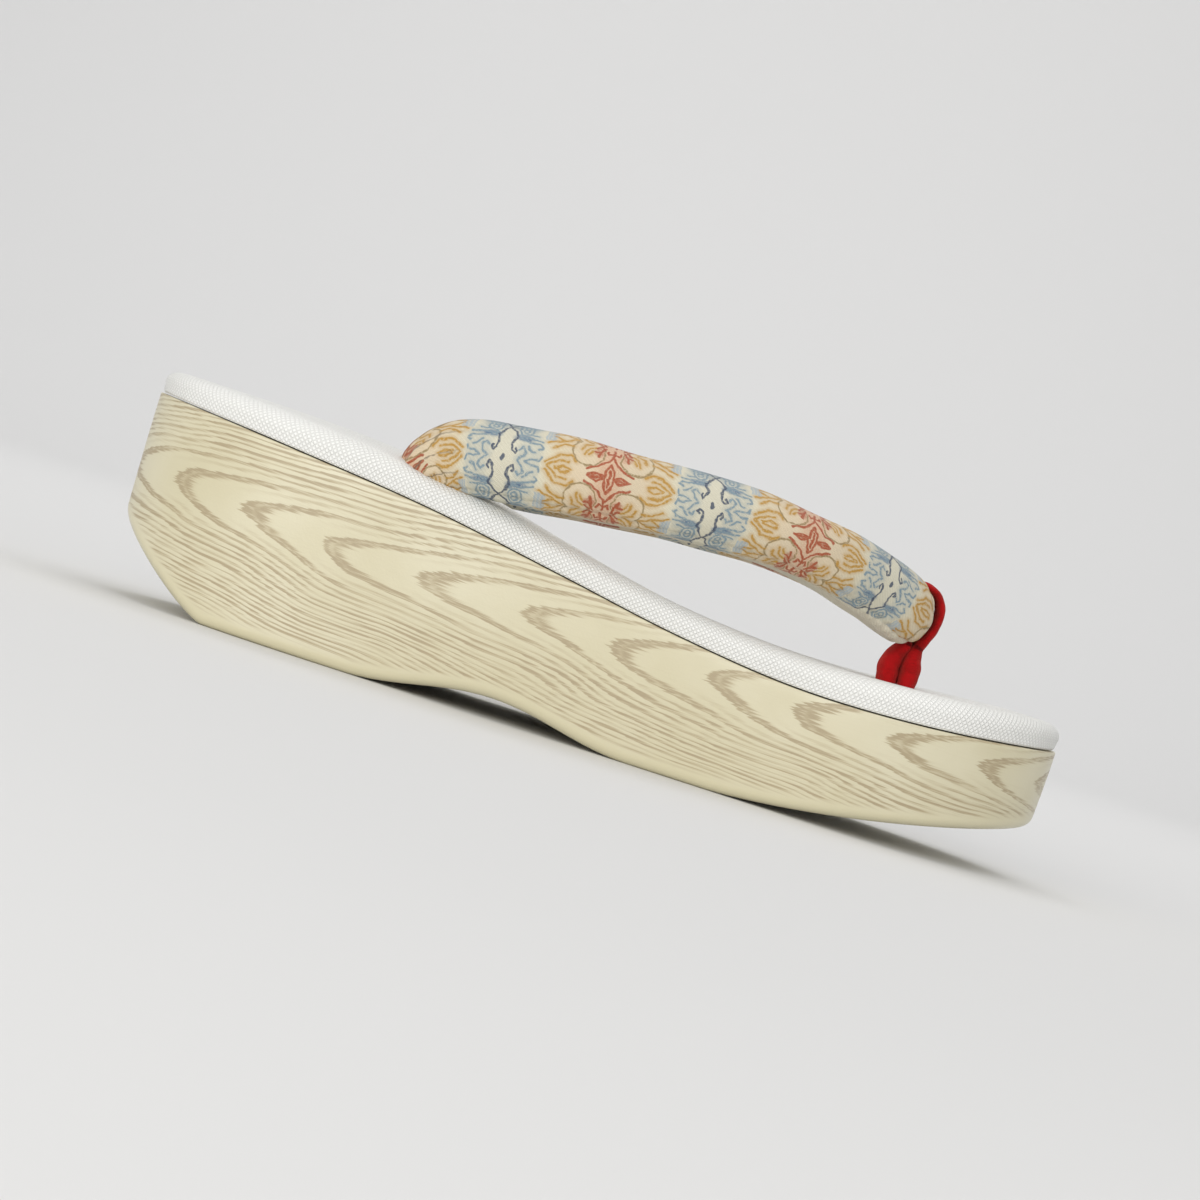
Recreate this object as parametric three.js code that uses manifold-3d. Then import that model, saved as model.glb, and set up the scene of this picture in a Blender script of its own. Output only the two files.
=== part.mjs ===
// Zori sandal with a thick moulded sole, a padded top, a fat padded V strap and a toe thong.
// Millimetres. +X points to the toe, +Y to the wearer's left, +Z up. The ground is z = 0 and the
// origin is under the middle of the sandal, which is the same for the left and the right foot.
import * as THREE from "three";
import { mergeVertices } from "three/addons/utils/BufferGeometryUtils.js";
import Module from "manifold-3d";

const wasm = await Module();
wasm.setup();

// Driving dimensions of the sole and its top.
const LENGTH = 240;
const BALL_HALF_WIDTH = 39.2;
const HEEL_HALF_WIDTH = 36.6;
const END_OVAL = 58; // length of the oval at the toe and at the heel
const GAP = 0.3; // between pieces that touch
const STRAP_POCKET_GAP = 0.4; // round the strap's ends in the footbed
const STATIONS = 46; // cross sections from heel to toe
const WELD = 1e-4; // corners closer than this are one corner

// Height of the seam between sole and footbed, which is the curve of the last.
const SEAM_ROWS = [
  { x: -120, z: 50.2 },
  { x: -80, z: 46.6 },
  { x: -45, z: 43.0 },
  { x: -10, z: 37.4 },
  { x: 20, z: 32.4 },
  { x: 50, z: 29.3 },
  { x: 80, z: 29.8 },
  { x: 120, z: 33.4 },
];

// Underside: a bevel behind the heel, a heel flat, an arch, a ball flat and the toe spring.
const HEEL_BEVEL_HEIGHT = 20.5;
const BEVEL_CURVE = 1.25;
const HEEL_FLAT = { from: -89, to: -53 };
const BALL_FLAT = { from: 18, to: 37 };
const ARCH_HEIGHT = 4.9;
const TOE_SPRING = 14.4; // at the very tip
const SPRING_CURVE = 1.5;

// Padded V strap: one stuffed tube, from the front fold back to each side of the heel.
// x, y, z is the middle of the tube, tall and wide are half its section.
const STRAP_ROWS = [
  { x: 75.2, y: 0, z: 55.0, tall: 5.8, wide: 4.3 },
  { x: 72.5, y: 7.0, z: 55.5, tall: 8.0, wide: 6.8 },
  { x: 63.5, y: 15.0, z: 58.9, tall: 7.7, wide: 7.6 },
  { x: 47.0, y: 25.5, z: 62.3, tall: 7.5, wide: 7.8 },
  { x: 26.0, y: 33.0, z: 63.1, tall: 8.2, wide: 8.0 },
  { x: 4.0, y: 36.0, z: 62.0, tall: 8.6, wide: 8.0 },
  { x: -16.0, y: 36.2, z: 60.5, tall: 9.1, wide: 8.2 },
  { x: -30.0, y: 34.8, z: 58.9, tall: 9.5, wide: 8.0 },
  { x: -41.0, y: 31.8, z: 57.0, tall: 9.0, wide: 7.2 },
  { x: -48.0, y: 29.4, z: 52.5, tall: 7.2, wide: 6.0 },
  { x: -50.2, y: 28.4, z: 46.6, tall: 5.4, wide: 4.7 },
];
const STRAP_STEPS = 34; // rings on each arm
const STRAP_SIDES = 18;

// Toe thong: a doubled velvet band over the strap's front fold. Below the fold its two strands are
// drawn together, then lie side by side and spread a little before they enter the footbed.
// back and front are the places of its faces along the sandal.
const BAND_THICKNESS = 2.3;
const BAND_HALF_WIDTH = 5.2;
const BAND_ROOM = { fromX: 50, toX: 100, fromZ: 40, toZ: 80 }; // holds the whole front fold
const STRAND_HALF_WIDTH = 4.6;
const THONG_ROWS = [
  { z: 31.8, back: 71.4, front: 80.4 },
  { z: 37.5, back: 71.2, front: 80.6 },
  { z: 41.5, back: 70.4, front: 81.0 },
  { z: 44.5, back: 71.8, front: 80.6 },
  { z: 47.5, back: 74.0, front: 79.8 },
  { z: 50.5, back: 72.4, front: 79.6 },
];
const THONG_X = 75.2; // middle of the strap's front fold
const POCKET_FLOOR = 1.6; // footbed left under the thong
const POCKET_TOP = 60; // clear above the footbed

// Smooth curve through a table of rows, read at any place between them.
function readTable(rows, key, value, at) {
  const last = rows.length - 1;
  let i = 0;
  while (i < last - 1 && rows[i + 1][key] < at) i += 1;
  const before = rows[Math.max(i - 1, 0)];
  const low = rows[i];
  const high = rows[i + 1];
  const after = rows[Math.min(i + 2, last)];
  const span = high[key] - low[key];
  const lowSlope = (high[value] - before[value]) / (high[key] - before[key]);
  const highSlope = (after[value] - low[value]) / (after[key] - low[key]);
  const t = Math.min(Math.max((at - low[key]) / span, 0), 1);
  const lowPart = (1 + 2 * t) * (1 - t) ** 2 * low[value] + t * (1 - t) ** 2 * span * lowSlope;
  const highPart = t * t * (3 - 2 * t) * high[value] + t * t * (t - 1) * span * highSlope;
  return lowPart + highPart;
}

const seamHeight = (x) => readTable(SEAM_ROWS, "x", "z", x);

function undersideHeight(x) {
  if (x < HEEL_FLAT.from) {
    const back = Math.min((HEEL_FLAT.from - x) / (LENGTH / 2 + HEEL_FLAT.from), 1);
    return HEEL_BEVEL_HEIGHT * back ** BEVEL_CURVE;
  }
  if (x > HEEL_FLAT.to && x < BALL_FLAT.from) {
    const along = (x - HEEL_FLAT.to) / (BALL_FLAT.from - HEEL_FLAT.to);
    return (ARCH_HEIGHT / 2) * (1 - Math.cos(2 * Math.PI * along));
  }
  if (x > BALL_FLAT.to) {
    const forward = (x - BALL_FLAT.to) / (LENGTH / 2 - BALL_FLAT.to);
    return TOE_SPRING * forward ** SPRING_CURVE;
  }
  return 0;
}

// Half the width of the plan outline: straight sides between two half ovals.
function halfWidth(x) {
  const along = THREE.MathUtils.smoothstep(x, -LENGTH / 2, LENGTH / 4);
  const side = THREE.MathUtils.lerp(HEEL_HALF_WIDTH, BALL_HALF_WIDTH, along);
  const end = Math.max(Math.abs(x) - (LENGTH / 2 - END_OVAL), 0) / END_OVAL;
  return side * Math.sqrt(Math.max(1 - end * end, 0));
}

// One level of the outline, drawn in by inset, as a loop of points: heel to toe on the right,
// then back on the left. height(x) gives each point's height.
function outlineRing(inset, height) {
  const right = [];
  const left = [];
  for (let i = 0; i <= STATIONS; i += 1) {
    const x = (-LENGTH / 2) * Math.cos((Math.PI * i) / STATIONS);
    const y = halfWidth(x) * (1 - inset / BALL_HALF_WIDTH);
    const drawnX = x * (1 - (2 * inset) / LENGTH);
    const z = height(drawnX);
    right.push(new THREE.Vector3(drawnX, -y, z));
    if (i > 0 && i < STATIONS) left.unshift(new THREE.Vector3(drawnX, y, z));
  }
  return right.concat(left);
}

function solidFromTriangles(points, triangles) {
  const flat = [];
  for (const corner of triangles) flat.push(points[corner].x, points[corner].y, points[corner].z);
  const raw = new THREE.BufferGeometry();
  raw.setAttribute("position", new THREE.Float32BufferAttribute(flat, 3));
  return solidFromGeometry(raw);
}

function solidFromGeometry(geometry) {
  const bare = geometry.index ? geometry.toNonIndexed() : geometry;
  bare.deleteAttribute("normal");
  bare.deleteAttribute("uv");
  const merged = mergeVertices(bare, WELD);
  return new wasm.Manifold(
    new wasm.Mesh({
      numProp: 3,
      vertProperties: merged.attributes.position.array,
      triVerts: new Uint32Array(merged.index.array),
    }),
  );
}

// Walls between successive closed rings with the same number of points.
function wallTriangles(ringCount, size) {
  const triangles = [];
  for (let r = 0; r < ringCount - 1; r += 1) {
    for (let i = 0; i < size; i += 1) {
      const here = r * size + i;
      const next = r * size + ((i + 1) % size);
      triangles.push(here, next, next + size, here, next + size, here + size);
    }
  }
  return triangles;
}

// A solid of outline rings from the bottom up, closed at both ends by strips across the sandal.
function outlineSolid(rings) {
  const size = 2 * STATIONS;
  const triangles = wallTriangles(rings.length, size);
  const top = (rings.length - 1) * size;
  for (let i = 0; i < STATIONS; i += 1) {
    const right = i;
    const left = (size - i) % size;
    const nextRight = i + 1;
    const nextLeft = size - i - 1;
    if (i > 0) triangles.push(right, left, nextLeft, top + right, top + nextLeft, top + left);
    if (i < STATIONS - 1) {
      triangles.push(right, nextLeft, nextRight, top + right, top + nextRight, top + nextLeft);
    }
  }
  return solidFromTriangles(rings.flat(), triangles);
}

// Sole: the wall leans in towards the ground and turns under in a soft edge.
// rise is above the underside, part is the share of the wall's height, inset is inwards.
const SOLE_WALL_ROWS = [
  { rise: 0, part: 0, inset: 4.2 },
  { rise: 0.4, part: 0, inset: 3.0 },
  { rise: 1.3, part: 0, inset: 2.0 },
  { rise: 2.8, part: 0, inset: 1.5 },
  { rise: 0, part: 0.5, inset: 0.7 },
  { rise: 0, part: 1, inset: 0 },
];

function makeSole() {
  const rings = SOLE_WALL_ROWS.map(({ rise, part, inset }) =>
    outlineRing(inset, (x) => {
      const low = undersideHeight(x);
      return low + rise + part * (seamHeight(x) - low);
    }),
  );
  return outlineSolid(rings);
}

// Footbed: a padded top with a soft rolled edge, thicker and domed under the heel.
// rise is above the seam, inset is inwards, swell is the share of the dome at that inset.
const FOOTBED_ROWS = [
  { rise: GAP, inset: 0.9, swell: 0 },
  { rise: 1.3, inset: 0, swell: 0 },
  { rise: 3.2, inset: -0.3, swell: 0.1 },
  { rise: 4.9, inset: 0.4, swell: 0.22 },
  { rise: 6.0, inset: 2.0, swell: 0.32 },
  { rise: 6.5, inset: 4.4, swell: 0.44 },
  { rise: 6.6, inset: 8.0, swell: 0.6 },
  { rise: 6.5, inset: 15.0, swell: 0.85 },
  { rise: 6.4, inset: 26.0, swell: 1 },
];
const DOME_ROWS = [
  { x: -120, swell: -0.6 },
  { x: -100, swell: 1.4 },
  { x: -78, swell: 3.0 },
  { x: -56, swell: 3.8 },
  { x: -34, swell: 3.0 },
  { x: -12, swell: 1.5 },
  { x: 12, swell: 0.5 },
  { x: 40, swell: 0.2 },
  { x: 120, swell: -0.3 },
];

function makeFootbed(strapPockets, thongPocket) {
  const rings = FOOTBED_ROWS.map(({ rise, inset, swell }) =>
    outlineRing(inset, (x) => seamHeight(x) + rise + swell * readTable(DOME_ROWS, "x", "swell", x)),
  );
  return outlineSolid(rings).subtract(strapPockets).subtract(thongPocket);
}

// Strap: rings of the tube, kept square to its middle line, for the whole strap from its left end
// round the front fold to its right end. grown makes the same tube fatter.
function strapArmRings(grown) {
  const places = STRAP_ROWS.map(({ x, y, z }) => new THREE.Vector3(x, y, z));
  const mirrored = places.slice(1).map((p) => new THREE.Vector3(p.x, -p.y, p.z));
  const whole = new THREE.CatmullRomCurve3([...mirrored.reverse(), ...places], false, "centripetal");
  const rows = STRAP_ROWS.map((row, i) => ({ ...row, at: i }));
  const across = new THREE.Vector3(1, 0, 0);
  const rings = [];
  for (let step = 0; step <= STRAP_STEPS; step += 1) {
    const at = ((STRAP_ROWS.length - 1) * step) / STRAP_STEPS;
    const t = 0.5 + (0.5 * step) / STRAP_STEPS;
    const middle = whole.getPoint(t);
    const along = whole.getTangent(t);
    across.addScaledVector(along, -across.dot(along)).normalize();
    const down = new THREE.Vector3().crossVectors(along, across);
    const tall = readTable(rows, "at", "tall", at) + grown;
    const wide = readTable(rows, "at", "wide", at) + grown;
    const ring = [];
    for (let side = 0; side < STRAP_SIDES; side += 1) {
      const turn = (2 * Math.PI * side) / STRAP_SIDES;
      const point = middle.clone();
      point.addScaledVector(across, wide * Math.cos(turn));
      point.addScaledVector(down, tall * Math.sin(turn));
      ring.push(point);
    }
    rings.push(ring);
  }
  return rings;
}

function strapSolid(grown) {
  const leftArm = strapArmRings(grown);
  const acrossMirror = new THREE.Vector3(1, -1, 1);
  const rightArm = leftArm.slice(1).map((ring) => ring.map((p) => p.clone().multiply(acrossMirror)));
  const rings = rightArm.reverse().concat(leftArm);
  const triangles = wallTriangles(rings.length, STRAP_SIDES);
  const points = rings.flat();
  const lastRing = (rings.length - 1) * STRAP_SIDES;
  for (let side = 1; side < STRAP_SIDES - 1; side += 1) {
    triangles.push(0, side + 1, side, lastRing, lastRing + side, lastRing + side + 1);
  }
  return solidFromTriangles(points, triangles);
}

// A closed outline in x and z, given as [x, z] pairs, as a plate of the given half width across y.
function plateAcross(outline, half) {
  const shape = new THREE.Shape(outline.map(([x, z]) => new THREE.Vector2(x, z)));
  const geometry = new THREE.ExtrudeGeometry(shape, { depth: 2 * half, bevelEnabled: false });
  geometry.rotateX(Math.PI / 2);
  geometry.translate(0, half, 0);
  return solidFromGeometry(geometry);
}

function block({ fromX, toX, fromZ, toZ }, half) {
  const outline = [
    [fromX, fromZ],
    [toX, fromZ],
    [toX, toZ],
    [fromX, toZ],
  ];
  return plateAcross(outline, half);
}

function makeThong() {
  const room = block(BAND_ROOM, BAND_HALF_WIDTH);
  const band = strapSolid(GAP + BAND_THICKNESS).intersect(room);
  const front = THONG_ROWS.map((row) => [row.front, row.z]);
  const back = THONG_ROWS.map((row) => [row.back, row.z]).reverse();
  const strands = plateAcross([...front, ...back], STRAND_HALF_WIDTH);
  return band.add(strands).subtract(strapSolid(GAP));
}

function makeThongPocket() {
  const widest = THONG_ROWS[1];
  const pocket = {
    fromX: widest.back - GAP,
    toX: widest.front + GAP,
    fromZ: seamHeight(THONG_X) + POCKET_FLOOR,
    toZ: POCKET_TOP,
  };
  return block(pocket, STRAND_HALF_WIDTH + GAP);
}

function meshOf(name, solid, material) {
  const made = solid.getMesh();
  const geometry = new THREE.BufferGeometry();
  geometry.setAttribute("position", new THREE.BufferAttribute(made.vertProperties, 3));
  geometry.setIndex(new THREE.BufferAttribute(made.triVerts, 1));
  geometry.computeVertexNormals();
  const mesh = new THREE.Mesh(geometry, new THREE.MeshStandardMaterial(material));
  mesh.name = name;
  return mesh;
}

const PRINTED_FILM = { color: 0xe4dec6, roughness: 0.35, metalness: 0 };
const WHITE_VINYL = { color: 0xeeeeeb, roughness: 0.6, metalness: 0 };
const BROCADE = { color: 0xe2d3b4, roughness: 0.75, metalness: 0 };
const RED_VELVET = { color: 0xc4140f, roughness: 0.95, metalness: 0 };

const sandal = new THREE.Group();
sandal.add(
  meshOf("sole", makeSole(), PRINTED_FILM),
  meshOf("footbed", makeFootbed(strapSolid(STRAP_POCKET_GAP), makeThongPocket()), WHITE_VINYL),
  meshOf("hanao_strap", strapSolid(0), BROCADE),
  meshOf("toe_thong", makeThong(), RED_VELVET),
);

export default sandal;
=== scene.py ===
import math

import bpy
import numpy as np
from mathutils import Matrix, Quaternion, Vector


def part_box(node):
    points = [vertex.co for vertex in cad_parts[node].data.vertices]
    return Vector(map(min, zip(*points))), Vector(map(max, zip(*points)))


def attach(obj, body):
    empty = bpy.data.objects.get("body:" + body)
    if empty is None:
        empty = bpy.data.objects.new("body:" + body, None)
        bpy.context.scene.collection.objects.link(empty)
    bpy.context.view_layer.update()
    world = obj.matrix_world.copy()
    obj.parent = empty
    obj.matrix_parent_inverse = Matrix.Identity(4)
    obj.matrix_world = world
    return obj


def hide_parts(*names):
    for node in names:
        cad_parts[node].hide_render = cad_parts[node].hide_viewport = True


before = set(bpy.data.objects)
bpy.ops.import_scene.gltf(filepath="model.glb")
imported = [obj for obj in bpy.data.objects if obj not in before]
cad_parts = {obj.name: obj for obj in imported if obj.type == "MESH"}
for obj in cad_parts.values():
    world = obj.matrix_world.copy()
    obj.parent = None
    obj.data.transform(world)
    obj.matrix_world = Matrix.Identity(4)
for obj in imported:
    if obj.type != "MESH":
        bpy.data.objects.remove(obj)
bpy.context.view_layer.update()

# ---------------------------------------------------------------------------------------------
# Sole. One thick block of foamed resin, wrapped in a satin film that is printed with pale wood
# grain. The film runs round the whole wall and is joined at the back; the underside is bare.
# ---------------------------------------------------------------------------------------------
MM = 0.001
sole_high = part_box("sole")[1]
HALF_LENGTH = sole_high.x / MM
BALL_HALF_WIDTH = sole_high.y / MM
HEEL_HALF_WIDTH = 36.6
HEEL_TO_BALL = 1.5 * HALF_LENGTH
END_OVAL = 58
STATIONS = 150

# The seam between sole and footbed, from the side.
SEAM_ROWS = {"x": (-120, -80, -45, -10, 20, 50, 80, 120),
             "z": (50.2, 46.6, 43.0, 37.4, 32.4, 29.3, 29.8, 33.4)}
HEEL_BEVEL_HEIGHT, BEVEL_CURVE = 20.5, 1.25
HEEL_FLAT = (-89, -53)
BALL_FLAT = (18, 37)
ARCH_HEIGHT = 4.9
TOE_SPRING, SPRING_CURVE = 14.4, 1.5

# How the wall is rounded below and leans, and the line that the tips of the printed arches lie on.
EDGE_RISE, EDGE_INSET, EDGE_STEPS = 2.8, 2.7, 8
WALL_INSET, WALL_CURVE, WALL_STEPS = 1.5, 1.2, 14
ARCH_TIP_ROWS = {"x": (-120, -100, -60, -10, 40, 120), "z": (32.0, 31.0, 28.6, 26.0, 25.2, 24.6)}
LIP, LIP_STEPS = 0.35, 4
LEAN_FROM, TOE_LEAN, HEEL_LEAN = 92, 1.3, 1.0


def read_rows(xs, values, at):
    """A smooth curve through a table's rows, read at any places."""
    xs, values = np.asarray(xs, float), np.asarray(values, float)
    slopes = np.empty(len(xs))
    slopes[1:-1] = (values[2:] - values[:-2]) / (xs[2:] - xs[:-2])
    slopes[0] = (values[1] - values[0]) / (xs[1] - xs[0])
    slopes[-1] = (values[-1] - values[-2]) / (xs[-1] - xs[-2])
    at = np.clip(np.asarray(at, float), xs[0], xs[-1])
    i = np.clip(np.searchsorted(xs, at) - 1, 0, len(xs) - 2)
    span = xs[i + 1] - xs[i]
    t = (at - xs[i]) / span
    low = (1 + 2 * t) * (1 - t) ** 2 * values[i] + t * (1 - t) ** 2 * span * slopes[i]
    high = t * t * (3 - 2 * t) * values[i + 1] + t * t * (t - 1) * span * slopes[i + 1]
    return low + high


def seam_height(x):
    """Height of the crease between sole and footbed."""
    return read_rows(SEAM_ROWS["x"], SEAM_ROWS["z"], x)


def underside_height(x):
    """Height of the underside: bevel at the back, heel flat, arch, ball flat and toe spring."""
    x = np.asarray(x, float)
    back = np.clip((HEEL_FLAT[0] - x) / (HALF_LENGTH + HEEL_FLAT[0]), 0, 1)
    arch = np.clip((x - HEEL_FLAT[1]) / (BALL_FLAT[0] - HEEL_FLAT[1]), 0, 1)
    spring = np.clip((x - BALL_FLAT[1]) / (HALF_LENGTH - BALL_FLAT[1]), 0, 1)
    bevel = HEEL_BEVEL_HEIGHT * back ** BEVEL_CURVE
    lift = ARCH_HEIGHT / 2 * (1 - np.cos(2 * math.pi * arch))
    return bevel + lift + TOE_SPRING * spring ** SPRING_CURVE


def half_width(x):
    """Half the plan width: it swells from heel to ball, and both ends are ovals."""
    t = np.clip((x + HALF_LENGTH) / HEEL_TO_BALL, 0, 1)
    side = HEEL_HALF_WIDTH + (BALL_HALF_WIDTH - HEEL_HALF_WIDTH) * t * t * (3 - 2 * t)
    end = np.clip((np.abs(x) - (HALF_LENGTH - END_OVAL)) / END_OVAL, 0, 1)
    return side * np.sqrt(1 - end * end)


def outline_ring(inset):
    """The plan outline drawn in by inset: heel to toe on the right, then back on the left."""
    turn = np.linspace(0, 2 * math.pi, 2 * STATIONS, endpoint=False)
    x = -HALF_LENGTH * np.cos(turn)
    y = -np.sign(np.sin(turn)) * half_width(x) * (1 - inset / BALL_HALF_WIDTH)
    return x * (1 - inset / HALF_LENGTH), y


def leaned(x, part):
    """Draws the toe and the heel in by their lean; part is 0 at the ground and 1 at the seam."""
    toe = np.clip((x - LEAN_FROM) / (HALF_LENGTH - LEAN_FROM), 0, 1) ** 2
    heel = np.clip((-x - LEAN_FROM) / (HALF_LENGTH - LEAN_FROM), 0, 1) ** 2
    return x - (TOE_LEAN * toe - HEEL_LEAN * heel) * part


def shoe_mesh(name, points, faces, corner_values):
    """A smooth mesh from points in millimetres, with one vector kept for each face corner."""
    mesh = bpy.data.meshes.new(name)
    mesh.from_pydata((np.asarray(points) * MM).tolist(), [], faces)
    mesh.polygons.foreach_set("use_smooth", [True] * len(mesh.polygons))
    kept = mesh.attributes.new("lie", "FLOAT_VECTOR", "CORNER")
    kept.data.foreach_set("vector", np.asarray(corner_values, np.float32).ravel())
    mesh.update()
    piece = bpy.data.objects.new(name, mesh)
    bpy.context.scene.collection.objects.link(piece)
    return piece


def outline_shell(name, rings, offsets, girths):
    """Closed shell of outline rings from the bottom up. Each corner keeps its way round the wall
    and two more readings, which is what the film or cover is laid out by."""
    size = 2 * STATIONS
    step = np.hypot(*np.diff(np.vstack([rings[0][:, :2], rings[0][:1, :2]]), axis=0).T)
    round_wall = np.concatenate([[0], np.cumsum(step)])
    points = np.vstack(rings)
    faces, corners = [], []

    def corner(r, i):
        return (round_wall[i], offsets[r][i % size], girths[r][i % size])

    for r in range(len(rings) - 1):
        for i in range(size):
            j = (i + 1) % size
            faces.append((r * size + i, r * size + j, (r + 1) * size + j, (r + 1) * size + i))
            corners += [corner(r, i), corner(r, i + 1), corner(r + 1, i + 1), corner(r + 1, i)]
    top = len(rings) - 1
    for r in (0, top):
        for i in range(STATIONS):
            left, next_left = (size - i) % size, size - i - 1
            loop = [i, left, next_left, i + 1]
            loop = [v for k, v in enumerate(loop) if v not in loop[:k]]
            loop = loop if r == 0 else loop[::-1]
            faces.append(tuple(r * size + v for v in loop))
            corners += [corner(r, v) for v in loop]
    return shoe_mesh(name, points, faces, corners)


def sole_rings():
    """Rings of the block from the underside up: rounded lower edge, wall, and lip at the seam."""
    rows = []
    for k in range(EDGE_STEPS + 1):
        turn = math.pi / 2 * k / EDGE_STEPS
        rows.append((EDGE_RISE * (1 - math.cos(turn)), 0, WALL_INSET + EDGE_INSET * (1 - math.sin(turn))))
    for k in range(1, WALL_STEPS + 1):
        rows.append((EDGE_RISE, k / WALL_STEPS, WALL_INSET * (1 - k / WALL_STEPS) ** WALL_CURVE))
    for k in range(1, LIP_STEPS + 1):
        turn = math.pi / 2 * k / LIP_STEPS
        rows.append((EDGE_RISE + LIP * math.sin(turn), 1, LIP * (1 - math.cos(turn))))
    rings, offsets, rises = [], [], []
    for rise, part, inset in rows:
        x, y = outline_ring(inset)
        low = underside_height(x)
        z = low + rise + part * (seam_height(x) - LIP - low - EDGE_RISE)
        rings.append(np.stack([leaned(x, (z - low) / (seam_height(x) - low)), y, z], 1))
        offsets.append(z - read_rows(ARCH_TIP_ROWS["x"], ARCH_TIP_ROWS["z"], x))
        rises.append(z - low)
    return rings, offsets, rises


sole_block = outline_shell("sole_block", *sole_rings())


class Reading:
    """A number that changes over a surface. Sums and curves of it become its material's nodes."""

    def __init__(self, tree, value):
        self.tree = tree
        self.value = value

    def made(self, operation, *others):
        node = self.tree.nodes.new("ShaderNodeMath")
        node.operation = operation
        for slot, part in enumerate((self, *others)):
            part = part.value if isinstance(part, Reading) else part
            if isinstance(part, bpy.types.NodeSocket):
                self.tree.links.new(part, node.inputs[slot])
            else:
                node.inputs[slot].default_value = part
        return Reading(self.tree, node.outputs[0])

    def __add__(self, other):
        return self.made("ADD", other)

    def __radd__(self, other):
        return self.made("ADD", other)

    def __sub__(self, other):
        return self.made("SUBTRACT", other)

    def __rsub__(self, other):
        return Reading(self.tree, other).made("SUBTRACT", self)

    def __mul__(self, other):
        return self.made("MULTIPLY", other)

    def __truediv__(self, other):
        return self.made("DIVIDE", other)

    def __rtruediv__(self, other):
        return Reading(self.tree, other).made("DIVIDE", self)

    def __abs__(self):
        return self.made("ABSOLUTE")

    def least(self, other):
        return self.made("MINIMUM", other)

    def most(self, other):
        return self.made("MAXIMUM", other)

    def sine(self):
        return self.made("SINE")

    def root(self):
        return self.made("SQRT")

    def share(self):
        """The part after the point, so it runs from 0 to 1 again and again."""
        return self.made("FRACT")

    def folded(self, period):
        """Runs up to period and back down again and again."""
        return self.made("PINGPONG", period)

    def band(self, low, high, start=0.0, end=1.0):
        """Runs from start to end as this reading runs from low to high, softly and no further."""
        node = self.tree.nodes.new("ShaderNodeMapRange")
        node.interpolation_type = "SMOOTHSTEP"
        self.tree.links.new(self.value, node.inputs["Value"])
        for socket, value in zip(("From Min", "From Max", "To Min", "To Max"), (low, high, start, end)):
            node.inputs[socket].default_value = value
        return Reading(self.tree, node.outputs["Result"])


def far(a, b):
    """Length of the way a along one side and b along the other."""
    return (a * a + b * b).root()


def lie_of(tree):
    """The three numbers that each corner of a piece keeps, in millimetres."""
    kept = tree.nodes.new("ShaderNodeAttribute")
    kept.attribute_name = "lie"
    parts = tree.nodes.new("ShaderNodeSeparateXYZ")
    tree.links.new(kept.outputs["Vector"], parts.inputs[0])
    return [Reading(tree, socket) for socket in parts.outputs]


def grain_noise(tree, across, along, third=0.0, scale=1.0, detail=3.0, roughness=0.5):
    """Noise that is read at the given readings, from 0 to 1."""
    place = tree.nodes.new("ShaderNodeCombineXYZ")
    for slot, part in enumerate((across, along, third)):
        if isinstance(part, Reading):
            tree.links.new(part.value, place.inputs[slot])
        else:
            place.inputs[slot].default_value = part
    noise = tree.nodes.new("ShaderNodeTexNoise")
    noise.inputs["Scale"].default_value = scale
    noise.inputs["Detail"].default_value = detail
    noise.inputs["Roughness"].default_value = roughness
    tree.links.new(place.outputs[0], noise.inputs["Vector"])
    return Reading(tree, noise.outputs["Fac"])


def layered(tree, under, over, share):
    """Colour over laid on colour under, by share."""
    mix = tree.nodes.new("ShaderNodeMix")
    mix.data_type = "RGBA"
    for name, colour in (("A", under), ("B", over)):
        socket = [s for s in mix.inputs if s.name == name and s.type == "RGBA"][0]
        if isinstance(colour, bpy.types.NodeSocket):
            tree.links.new(colour, socket)
        else:
            socket.default_value = (*colour, 1)
    tree.links.new(share.value, mix.inputs[0])
    return [s for s in mix.outputs if s.type == "RGBA"][0]


def raised(tree, height, depth):
    """Normal of a surface that stands up by height times depth, in metres."""
    bump = tree.nodes.new("ShaderNodeBump")
    bump.inputs["Strength"].default_value = 1
    bump.inputs["Distance"].default_value = depth
    tree.links.new(height.value, bump.inputs["Height"])
    return bump.outputs["Normal"]


def finish_material(name, settings):
    """A new material with its shader, and the shader's plain settings."""
    material = bpy.data.materials.new(name)
    material.use_nodes = True
    shader = material.node_tree.nodes["Principled BSDF"]
    for socket, value in settings.items():
        shader.inputs[socket].default_value = value
    return material, material.node_tree, shader


def group_of(name, inputs, outputs):
    """An empty node group with named inputs, each with its value, and named outputs."""
    tree = bpy.data.node_groups.new(name, "ShaderNodeTree")
    for label, value in inputs.items():
        socket = tree.interface.new_socket(label, in_out="INPUT", socket_type="NodeSocketFloat")
        socket.default_value = value
    for label in outputs:
        tree.interface.new_socket(label, in_out="OUTPUT", socket_type="NodeSocketFloat")
    start = tree.nodes.new("NodeGroupInput")
    end = tree.nodes.new("NodeGroupOutput")
    return tree, {s.name: Reading(tree, s) for s in start.outputs if s.name}, end


def placed(tree, group, values, output):
    """A group set in a material with its own values, as the reading that it puts out."""
    node = tree.nodes.new("ShaderNodeGroup")
    node.node_tree = group
    for label, value in values.items():
        if isinstance(value, Reading):
            tree.links.new(value.value, node.inputs[label])
        else:
            node.inputs[label].default_value = value
    return Reading(tree, node.outputs[output])


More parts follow.
